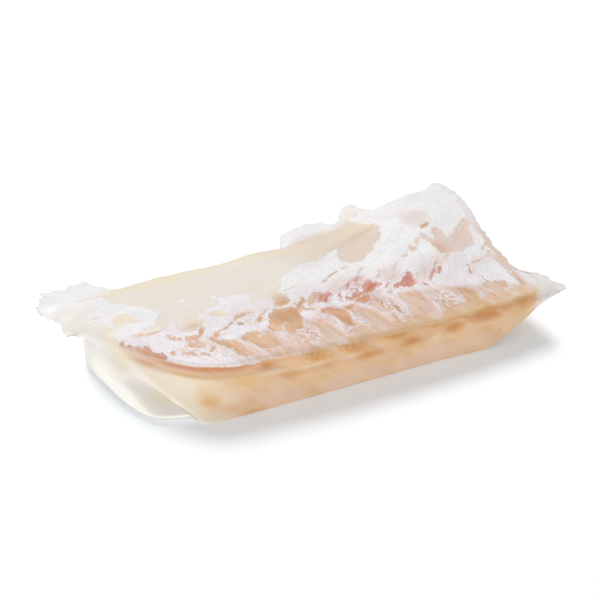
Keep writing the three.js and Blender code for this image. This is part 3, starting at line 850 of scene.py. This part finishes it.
def move_points(piece, places):
    """Puts a piece's vertices at new places."""
    piece.data.vertices.foreach_set("co", places.ravel())
    piece.data.update()


def apply_modifier(piece, kind, **settings):
    """Adds a modifier to a piece, sets it and applies it."""
    modifier = piece.modifiers.new(kind.title(), kind)
    for name, value in settings.items():
        setattr(modifier, name, value)
    select_only(piece)
    bpy.ops.object.modifier_apply(modifier=modifier.name)


def write_values(piece, name, values):
    """Keeps one number for each vertex, for the material to read."""
    attribute = piece.data.attributes.new(name, "FLOAT", "POINT")
    attribute.data.foreach_set("value", np.asarray(values, np.float32))


def write_colours(piece, name, colours):
    """Keeps one linear colour for each vertex, for the material to read."""
    attribute = piece.data.attributes.new(name, "FLOAT_COLOR", "POINT")
    opaque = np.column_stack([colours, np.ones(len(colours))])
    attribute.data.foreach_set("color", opaque.astype(np.float32).ravel())


def add_node(tree, kind, inputs=(), **settings):
    """Adds a node with its settings, and sets or links each input."""
    made = tree.nodes.new(kind)
    for name, value in settings.items():
        setattr(made, name, value)
    for name, value in dict(inputs).items():
        if isinstance(value, bpy.types.NodeSocket):
            tree.links.new(value, made.inputs[name])
        else:
            made.inputs[name].default_value = value
    return made


def new_material(name):
    """An empty material with its node tree."""
    material = bpy.data.materials.new(name)
    material.use_nodes = True
    material.node_tree.nodes.clear()
    return material, material.node_tree


def raw_cod():
    """Raw white fish under its own connective membrane.

    The flesh is wet and lets light a millimetre or two in, so it looks soft. The membrane is a torn white
    film with a satin surface, crisp at its torn edges and finely specked where the scale pockets were.
    """
    material, tree = new_material("raw cod flesh under torn membrane")
    value = {
        name: add_node(tree, "ShaderNodeAttribute", attribute_name=name).outputs["Fac"]
        for name in SURFACE_VALUES
    }
    flesh = add_node(tree, "ShaderNodeAttribute", attribute_name="flesh").outputs["Color"]
    sheet = add_node(tree, "ShaderNodeAttribute", attribute_name="sheet").outputs["Color"]
    place = add_node(tree, "ShaderNodeTexCoord").outputs["Object"]
    axes = add_node(tree, "ShaderNodeSeparateXYZ", {0: place}).outputs
    grain = add_node(
        tree, "ShaderNodeCombineXYZ", {"X": value["grain"], "Y": axes["Y"], "Z": axes["Z"]}
    ).outputs[0]

    # Patterns: what each follows, its spots to a unit length, and its detail, roughness and distortion.
    # Across the grain the unit is a millimetre, and otherwise a metre. Fibres are about 1.1 mm by 7 mm, wisps
    # 3.2 mm by 12 mm, grit 1.6 mm, clouds 9 mm and streaks of fat 1 mm by 16 mm.
    patterns = {
        "fibres": (grain, (1 / 1.1, 1000 / 7, 1000 / 7), 3, 0.6, 0.5),
        "wisps": (grain, (1 / 3.2, 1000 / 12, 1000 / 12), 5, 0.6, 0.5),
        "grit": (place, (1000 / 1.6, 1000 / 1.6, 1000 / 1.6), 4, 0.6, 0),
        "clouds": (place, (1000 / 9, 1000 / 9, 1000 / 9), 3, 0.55, 0),
        "fat streaks": (place, (60, 950, 300), 4, 0.6, 0.4),
    }
    for name, (followed, scale, detail, roughness, distortion) in patterns.items():
        spot = add_node(
            tree, "ShaderNodeVectorMath", {0: followed, 1: scale}, operation="MULTIPLY"
        ).outputs[0]
        inputs = {"Scale": 1, "Detail": detail, "Roughness": roughness, "Distortion": distortion}
        value[name] = add_node(tree, "ShaderNodeTexNoise", {"Vector": spot, **inputs}).outputs["Fac"]

    # What each value is stretched to: its own low and high ends, and what they become.
    stretches = {
        "ragged": ("fibres", 0.3, 0.7, -0.7, 0.7),
        "notched": ("grit", 0.3, 0.7, -0.5, 0.5),
        "wispy": ("wisps", 0.36, 0.64, -0.75, 0.4),
        "gritty": ("grit", 0.35, 0.65, -0.25, 0.25),
        "strands": ("grit", 0.4, 0.6, -0.5, 0.5),
        "broken": ("clouds", 0.4, 0.6, 0.3, 1),
        "shreds": ("wisps", 0.4, 0.62, 0, 1),
        "fat": ("fat streaks", 0.45, 0.75, 0, 0.6),
        "wrinkled": ("grit", 0.35, 0.65, 0.9, 1.2),
        "shaded": ("fibres", 0.3, 0.7, -0.05, 0.05),
        "mottled": ("clouds", 0.3, 0.7, 0.955, 1.025),
        "soaked": ("thin", 0, 0.06, 0.3, 0),
        "clear": ("thin", 0.35, 1, 0, 1),
    }
    for name, (source, low, high, least, most) in stretches.items():
        inputs = {"Value": value[source], "From Min": low, "From Max": high, "To Min": least, "To Max": most}
        value[name] = add_node(tree, "ShaderNodeMapRange", inputs).outputs[0]

    # The membrane: torn where the fibres let it, thinner in wisps and coarse where it is lace.
    ragged = add_node(
        tree, "ShaderNodeMath", {0: value["ragged"], 1: value["tatter"], 2: value["notched"]},
        operation="MULTIPLY_ADD",
    ).outputs[0]
    torn = add_node(tree, "ShaderNodeMath", {0: value["cover"], 1: ragged}, operation="ADD").outputs[0]
    whole = add_node(
        tree, "ShaderNodeMapRange", {"Value": torn, "From Min": -0.2, "From Max": 0.3},
        interpolation_type="SMOOTHSTEP",
    ).outputs[0]
    opacity = value["film"]
    for name, share, clamped in (
        ("wispy", "streak", False), ("gritty", "streak", False), ("strands", "lace", True)
    ):
        opacity = add_node(
            tree, "ShaderNodeMath", {0: value[name], 1: value[share], 2: opacity},
            operation="MULTIPLY_ADD", use_clamp=clamped,
        ).outputs[0]
    # Torn edges curl up white here and there, and shreds of a thinner layer are left in the windows.
    curled = add_node(
        tree, "ShaderNodeMapRange",
        {"Value": torn, "From Min": 0.3, "From Max": 1.2, "To Min": 0.95, "To Max": 0},
    ).outputs[0]
    for name in ("tatter", "broken"):
        curled = add_node(
            tree, "ShaderNodeMath", {0: curled, 1: value[name]}, operation="MULTIPLY"
        ).outputs[0]
    opacity = add_node(tree, "ShaderNodeMath", {0: opacity, 1: curled}, operation="MAXIMUM").outputs[0]
    shreds = add_node(
        tree, "ShaderNodeMath", {0: value["shreds"], 1: value["layer"]}, operation="MULTIPLY"
    ).outputs[0]
    film = add_node(tree, "ShaderNodeMix", {0: whole, 2: shreds, 3: opacity}, data_type="FLOAT").outputs[0]

    # Fat draws fine pale streaks along the bare flesh, and the fin muscle pads are finely wrinkled.
    fat = add_node(
        tree, "ShaderNodeMath", {0: value["fat"], 1: value["bare"]}, operation="MULTIPLY"
    ).outputs[0]
    flesh = add_node(
        tree, "ShaderNodeMix", {0: fat, 6: flesh, 7: (*linear(FAT_STREAK), 1)}, data_type="RGBA"
    ).outputs[2]
    wrinkled = add_node(
        tree, "ShaderNodeVectorMath", {0: flesh, "Scale": value["wrinkled"]}, operation="SCALE"
    ).outputs[0]
    flesh = add_node(
        tree, "ShaderNodeMix", {0: value["pad"], 6: flesh, 7: wrinkled}, data_type="RGBA"
    ).outputs[2]
    # Muscle fibres shade the flesh by a few parts in a hundred, and clouds mottle the membrane.
    grey = add_node(
        tree, "ShaderNodeMath", {0: value["shaded"], 1: value["muscle"], 2: 1.0}, operation="MULTIPLY_ADD"
    ).outputs[0]
    flesh = add_node(tree, "ShaderNodeVectorMath", {0: flesh, "Scale": grey}, operation="SCALE").outputs[0]
    sheet = add_node(
        tree, "ShaderNodeVectorMath", {0: sheet, "Scale": value["mottled"]}, operation="SCALE"
    ).outputs[0]
    skin = add_node(tree, "ShaderNodeMix", {0: film, 6: flesh, 7: sheet}, data_type="RGBA").outputs[2]

    # Scale pockets: small grey-mauve specks about 3.7 mm apart.
    pockets = add_node(
        tree, "ShaderNodeTexVoronoi", {"Vector": place, "Scale": 1 / 0.0037, "Randomness": 0.7},
        voronoi_dimensions="2D",
    ).outputs
    speck = add_node(
        tree, "ShaderNodeMapRange",
        {"Value": pockets["Distance"], "From Min": 0.03, "From Max": 0.15, "To Min": 0.5, "To Max": 0},
    ).outputs[0]
    speck = add_node(tree, "ShaderNodeMath", {0: speck, 1: film}, operation="MULTIPLY").outputs[0]
    skin = add_node(
        tree, "ShaderNodeMix", {0: speck, 6: skin, 7: (*linear(SCALE_POCKET), 1)}, data_type="RGBA"
    ).outputs[2]

    gloss = add_node(
        tree, "ShaderNodeMapRange",
        {"Value": film, "From Min": 0, "From Max": 1, "To Min": 0.36, "To Max": 0.48},
    ).outputs[0]
    soft = add_node(tree, "ShaderNodeMath", {0: value["fibres"], 1: 0.35}, operation="MULTIPLY").outputs[0]
    height = add_node(
        tree, "ShaderNodeMath", {0: film, 1: 0.9, 2: soft}, operation="MULTIPLY_ADD"
    ).outputs[0]
    bump = add_node(
        tree, "ShaderNodeBump", {"Strength": 0.5, "Distance": 0.0002, "Height": height}
    ).outputs[0]
    shader = add_node(
        tree, "ShaderNodeBsdfPrincipled",
        {
            "Base Color": skin, "Roughness": gloss, "IOR": 1.38, "Normal": bump,
            "Subsurface Weight": value["soaked"], "Subsurface Radius": (1.0, 0.55, 0.35),
            "Subsurface Scale": 0.0008,
        },
    )
    # The flaps are about a millimetre thick, so most light gets through them and their shadow is faint.
    shadow = add_node(tree, "ShaderNodeLightPath").outputs["Is Shadow Ray"]
    through = add_node(
        tree, "ShaderNodeMath", {0: shadow, 1: value["clear"]}, operation="MULTIPLY"
    ).outputs[0]
    clear = add_node(tree, "ShaderNodeBsdfTransparent")
    surface = add_node(
        tree, "ShaderNodeMixShader", {0: through, 1: shader.outputs[0], 2: clear.outputs[0]}
    )
    add_node(tree, "ShaderNodeOutputMaterial", {"Surface": surface.outputs[0]})
    return material


def thin_film():
    """Paper-thin connective film, pulled off the flesh by the knife.

    It is wet and nearly colourless, so it looks pale grey, a little warmer where it leaves the flesh. It is
    clear at its root, where it lies on the flesh.
    """
    material, tree = new_material("wet connective film")
    tone = add_node(tree, "ShaderNodeAttribute", attribute_name="tone").outputs["Color"]
    body = add_node(tree, "ShaderNodeAttribute", attribute_name="body").outputs["Fac"]
    place = add_node(tree, "ShaderNodeTexCoord").outputs["Object"]
    # Mottling about 7 mm across and wrinkles about 1.5 mm.
    cloud = add_node(
        tree, "ShaderNodeTexNoise", {"Vector": place, "Scale": 1 / 0.007, "Detail": 4, "Roughness": 0.6}
    ).outputs["Fac"]
    wrinkles = add_node(
        tree, "ShaderNodeTexNoise", {"Vector": place, "Scale": 1 / 0.0015, "Detail": 3, "Roughness": 0.6}
    ).outputs["Fac"]
    mottle = add_node(
        tree, "ShaderNodeMapRange",
        {"Value": cloud, "From Min": 0.3, "From Max": 0.7, "To Min": 0.97, "To Max": 1.03},
    ).outputs[0]
    tone = add_node(tree, "ShaderNodeVectorMath", {0: tone, "Scale": mottle}, operation="SCALE").outputs[0]
    bump = add_node(
        tree, "ShaderNodeBump", {"Strength": 0.3, "Distance": 0.0002, "Height": wrinkles}
    ).outputs[0]
    shader = add_node(
        tree, "ShaderNodeBsdfPrincipled",
        {"Base Color": tone, "Roughness": 0.42, "IOR": 1.38, "Normal": bump, "Alpha": body},
    )
    add_node(tree, "ShaderNodeOutputMaterial", {"Surface": shader.outputs[0]})
    return material


class COD_LOIN_OT_flesh(bpy.types.Operator):
    """Carves the loin from a copy of the solid and lays the torn membrane on it"""

    bl_idname = "cod_loin.flesh"
    bl_label = "Flesh and membrane"

    def execute(self, context):
        settings = context.scene.cod_loin_flesh
        select_only(frame["nodes"][LOIN_NODE])
        bpy.ops.object.duplicate()
        loin = context.active_object
        loin.name = "loin_flesh"
        loin.data.name = "loin_flesh"
        self.round_off(loin, settings.levels)
        self.draw_in_flaps(loin)
        surface = Surface(points_of(loin) / MM, normals_of(loin), settings)
        places = points_of(loin) + normals_of(loin) * surface.relief(settings.thickness / MM)[:, None] * MM
        places[:, 2] = np.maximum(places[:, 2], 0)
        move_points(loin, places)
        for name in SURFACE_VALUES:
            write_values(loin, name, getattr(surface, name))
        write_colours(loin, "flesh", surface.flesh)
        write_colours(loin, "sheet", surface.sheet)
        loin.data.materials.clear()
        loin.data.materials.append(raw_cod())
        bpy.ops.object.shade_smooth()
        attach(loin, "root")
        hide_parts(LOIN_NODE)
        return {"FINISHED"}

    def round_off(self, loin, levels):
        """Merges the loose triangles into one skin of quads and rounds it, with the foot kept crisp."""
        del loin["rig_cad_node"]
        bpy.ops.object.mode_set(mode="EDIT")
        bpy.ops.mesh.select_all(action="SELECT")
        bpy.ops.mesh.remove_doubles(threshold=MERGE_DISTANCE * MM)
        quad_angle = math.radians(QUAD_ANGLE)
        bpy.ops.mesh.tris_convert_to_quads(face_threshold=quad_angle, shape_threshold=quad_angle)
        bpy.ops.mesh.select_all(action="DESELECT")
        bpy.ops.mesh.select_mode(type="EDGE")
        bpy.ops.mesh.edges_select_sharp(sharpness=math.radians(SHARP_ANGLE))
        bpy.ops.object.mode_set(mode="OBJECT")
        x, y, z = (points_of(loin) / MM).T
        crisp = (z < FOOT_HEIGHT) | ((x > 60) & (y < -44) & (z < 16))
        for edge in loin.data.edges:
            edge.select = edge.select and all(crisp[v] for v in edge.vertices)
        bpy.ops.object.mode_set(mode="EDIT")
        bpy.ops.transform.edge_crease(value=CRISPNESS)
        bpy.ops.object.mode_set(mode="OBJECT")
        apply_modifier(loin, "SUBSURF", levels=levels, render_levels=levels)

    def draw_in_flaps(self, loin):
        """Draws the flesh of the flaps in a little, so that the films end past it."""
        places = points_of(loin) / MM
        x, y, z = places.T
        rim = nearest_rim(x, y)[:2].T
        beyond = np.maximum(outside(x, y, [point[:2] for point in RIM]), 0)
        no_film = smooth(x, 56, 64) * (smooth(y, 0, 20) + 1 - smooth(y, -44, -40))
        under_film = (1 - no_film) * smooth(z, 8, 11)
        kept = np.where(beyond > FLAP_START, FLAP_START + (beyond - FLAP_START) * FLAP_KEEP, beyond)
        right_bay = 0.6 * bump_of((y + 27) / 5) * smooth(x, 84, 86)
        kept *= (1 - right_bay) / np.maximum(beyond, 0.001)
        share = 1 + (kept - 1) * under_film * (beyond > 0)
        places[:, :2] = rim + (places[:, :2] - rim) * share[:, None]
        move_points(loin, places * MM)


class COD_LOIN_OT_films(bpy.types.Operator):
    """Lays the thin ragged films over the flaps at the cut ends"""

    bl_idname = "cod_loin.films"
    bl_label = "Films at the cut ends"

    def execute(self, context):
        settings = context.scene.cod_loin_flesh
        flesh = BVHTree.FromObject(bpy.data.objects["loin_flesh"], context.evaluated_depsgraph_get())
        material = thin_film()
        for seed, (name, film) in enumerate(FILMS.items()):
            self.lay_film(name, film, flesh, seed, settings, material)
        return {"FINISHED"}

    def lay_film(self, name, film, flesh, seed, settings, material):
        """One film: a flat grid, mapped from its root line to its ragged edge and laid on the flesh."""
        bpy.ops.object.select_all(action="DESELECT")
        bpy.ops.mesh.primitive_grid_add(x_subdivisions=film["columns"], y_subdivisions=FILM_ROWS, size=1)
        piece = bpy.context.active_object
        piece.name = name
        piece.data.name = name
        grid = points_of(piece)
        across, out = grid[:, 0] + 0.5, grid[:, 1] + 0.5
        root, edge = curve_through(film["root"], across), curve_through(film["edge"], across)
        run, zero = across * film["columns"], across * 0
        ragged = 0.05 * ripple(run / 5, zero, 31 + seed) + 0.04 * ripple(run / 1.8, zero, 41 + seed)
        places = root + (edge - root) * (out * (1 + ragged))[:, None]
        heights = self.heights(places, across, out, flesh, seed)
        move_points(piece, np.column_stack([places, heights]) * MM)
        warm, grey = np.array(film["warm"]), np.array(film["grey"])
        turn = (places - warm) @ (grey - warm) / ((grey - warm) @ (grey - warm))
        share = smooth(turn + 0.25 * ripple(places[:, 0] / 6, places[:, 1] / 6, 51 + seed), 0, 1)[:, None]
        tone = np.array(settings.tongue) * (1 - share) + np.array(settings.film) * share
        body = smooth(out, 0.1, 0.7) * smooth(across, 0, 0.1) * smooth(1 - across, 0, 0.1)
        write_colours(piece, "tone", tone)
        write_values(piece, "body", body)
        select_only(piece)
        bpy.ops.object.mode_set(mode="EDIT")
        bpy.ops.mesh.select_all(action="SELECT")
        bpy.ops.mesh.normals_make_consistent(inside=False)
        bpy.ops.object.mode_set(mode="OBJECT")
        apply_modifier(piece, "SOLIDIFY", thickness=settings.film_thickness, offset=0)
        piece.data.materials.append(material)
        # So thin a film hardly shades the table, and light caught between it and the flesh would sparkle.
        piece.visible_shadow = False
        piece.visible_diffuse = False
        bpy.ops.object.shade_smooth()
        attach(piece, "root")
        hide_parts(LOIN_NODE)

    def heights(self, places, across, out, flesh, seed):
        """The film lies on the flap and hangs on level past its end."""
        found = np.full(len(places), np.nan)
        for index, (x, y) in enumerate(places * MM):
            hit = flesh.ray_cast(Vector((x, y, ABOVE_ALL * MM)), Vector((0, 0, -1)))[0]
            if hit:
                found[index] = hit.z / MM
        heights = np.zeros(len(places))
        for column in np.unique(np.round(across, 5)):
            members = np.where(np.abs(across - column) < 1e-4)[0]
            last = FILM_START
            for member in members[np.argsort(out[members])]:
                hanging = np.isnan(found[member]) or found[member] < last - FLESH_STEP
                last = last - FILM_DROOP if hanging else found[member]
                heights[member] = last
        wavy = 0.5 * ripple(places[:, 0] / 5, places[:, 1] / 5, 61 + seed) * smooth(out, 0.35, 1)
        return heights + FILM_RISE + wavy * smooth(out, 0.3, 0.6)


class COD_LOIN_OT_stage(bpy.types.Operator):
    """Sets the white tabletop, the soft light and the camera"""

    bl_idname = "cod_loin.stage"
    bl_label = "Tabletop, light and camera"

    def execute(self, context):
        settings = context.scene.cod_loin_stage
        self.tabletop(settings)
        self.sky(context, settings.sky)
        for setting, (name, place, size) in SOFT_BOXES.items():
            self.soft_box(name, place, size, getattr(settings, setting))
        self.camera(context, settings)
        context.scene.view_settings.view_transform = "Standard"
        return {"FINISHED"}

    def tabletop(self, settings):
        """A matt white card that glows a little, as one lit from below does."""
        bpy.ops.mesh.primitive_plane_add(size=TABLETOP_SIZE)
        floor = bpy.context.active_object
        floor.name = "tabletop"
        material, tree = new_material("matt white card")
        shader = add_node(
            tree, "ShaderNodeBsdfPrincipled",
            {
                "Base Color": (*settings.floor, 1), "Roughness": 0.9, "Specular IOR Level": 0.1,
                "Emission Color": (0.85, 1, 1.12, 1), "Emission Strength": settings.glow,
            },
        )
        add_node(tree, "ShaderNodeOutputMaterial", {"Surface": shader.outputs[0]})
        floor.data.materials.append(material)

    def sky(self, context, strength):
        """Even white light from all round."""
        world = bpy.data.worlds.new("white studio")
        world.use_nodes = True
        world.node_tree.nodes["Background"].inputs["Color"].default_value = (0.97, 0.985, 1, 1)
        world.node_tree.nodes["Background"].inputs["Strength"].default_value = strength
        context.scene.world = world

    def soft_box(self, name, place, size, power):
        """A round soft box that faces the loin."""
        bpy.ops.object.light_add(type="AREA", location=place)
        lamp = bpy.context.active_object
        lamp.name = name
        lamp.data.shape = "DISK"
        lamp.data.size = size
        lamp.data.energy = power
        lamp.rotation_euler = (-lamp.location).to_track_quat("-Z", "Y").to_euler()

    def camera(self, context, settings):
        """Looks down at the loin from its front left."""
        azimuth, elevation = math.radians(CAMERA_AZIMUTH), math.radians(CAMERA_ELEVATION)
        level = math.cos(elevation)
        back = Vector((math.sin(azimuth) * level, -math.cos(azimuth) * level, math.sin(elevation)))
        target = Vector(CAMERA_TARGET) * MM
        bpy.ops.object.camera_add(location=target + back * settings.distance)
        camera = context.active_object
        camera.rotation_euler = back.to_track_quat("Z", "Y").to_euler()
        camera.data.lens = CAMERA_LENS
        camera.data.sensor_width = CAMERA_SENSOR
        camera.data.clip_end = CAMERA_REACH
        context.scene.camera = camera


class COD_LOIN_PT_panel(bpy.types.Panel):
    """Lists the operators in the sidebar"""

    bl_idname = "COD_LOIN_PT_panel"
    bl_label = "Cod loin"
    bl_space_type = "VIEW_3D"
    bl_region_type = "UI"
    bl_category = "Cod loin"

    def draw(self, context):
        for operator in OPERATORS:
            self.layout.operator(operator.bl_idname)


OPERATORS = (COD_LOIN_OT_flesh, COD_LOIN_OT_films, COD_LOIN_OT_stage)
CLASSES = (CodLoinFlesh, CodLoinStage, *OPERATORS, COD_LOIN_PT_panel)


def register():
    for cls in CLASSES:
        bpy.utils.register_class(cls)
    bpy.types.Scene.cod_loin_flesh = bpy.props.PointerProperty(type=CodLoinFlesh)
    bpy.types.Scene.cod_loin_stage = bpy.props.PointerProperty(type=CodLoinStage)


def unregister():
    del bpy.types.Scene.cod_loin_stage
    del bpy.types.Scene.cod_loin_flesh
    for cls in reversed(CLASSES):
        bpy.utils.unregister_class(cls)


def main():
    register()
    bpy.ops.cod_loin.flesh()
    bpy.ops.cod_loin.films()
    bpy.ops.cod_loin.stage()


if __name__ == "__main__":
    main()
